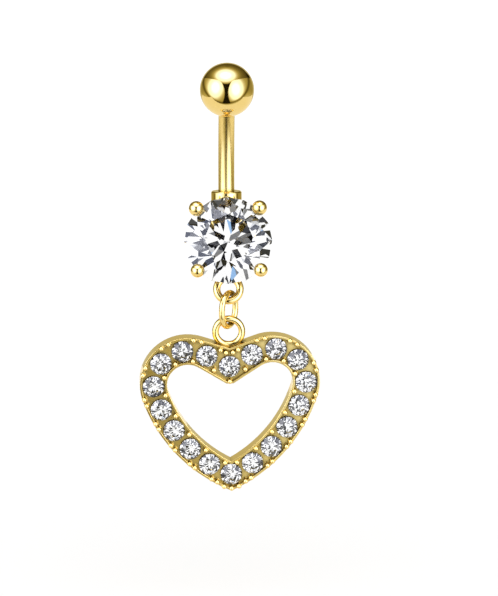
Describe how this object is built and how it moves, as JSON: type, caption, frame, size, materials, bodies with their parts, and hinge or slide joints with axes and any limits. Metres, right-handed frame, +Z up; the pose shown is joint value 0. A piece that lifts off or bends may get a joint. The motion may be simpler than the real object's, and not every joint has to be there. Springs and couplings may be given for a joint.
{
  "type": "navel ring",
  "caption": "Curved bar navel ring with a ball top, a round stone in a claw setting, and an open heart set with small round stones that hangs from an oval link.",
  "frame": {"origin": "middle of the curved bar, where the piercing holds it", "axes": "+Z up as worn, -Y out of the body towards the viewer, +X to the viewer's right"},
  "size_m": [0.0179, 0.0079, 0.0427],
  "materials": {
    "polished_gold": "polished gold plate",
    "clear_stone": "polished, round brilliant cut"
  },
  "bodies": {
    "bar": {"top_ball": "polished_gold", "bar_and_setting": "polished_gold", "main_stone": "clear_stone"},
    "link": {"link": "polished_gold"},
    "heart": {"heart_frame": "polished_gold", "heart_stone_01": "clear_stone", "heart_stone_02": "clear_stone", "heart_stone_03": "clear_stone", "heart_stone_04": "clear_stone", "heart_stone_05": "clear_stone", "heart_stone_06": "clear_stone", "heart_stone_07": "clear_stone", "heart_stone_08": "clear_stone", "heart_stone_09": "clear_stone", "heart_stone_10": "clear_stone", "heart_stone_11": "clear_stone", "heart_stone_12": "clear_stone", "heart_stone_13": "clear_stone", "heart_stone_14": "clear_stone", "heart_stone_15": "clear_stone", "heart_stone_16": "clear_stone", "heart_stone_17": "clear_stone", "heart_stone_18": "clear_stone"}
  },
  "joints": [
    {"name": "link_swing", "type": "hinge", "parent": "bar", "child": "link", "pos_m": [0, -0.00452, -0.01438], "axis": [1, 0, 0], "range_deg": [-60, 15]},
    {"name": "heart_swing", "type": "hinge", "parent": "link", "child": "heart", "pos_m": [0, -0.00452, -0.01696], "axis": [0, 1, 0], "range_deg": [-30, 30]}
  ]
}
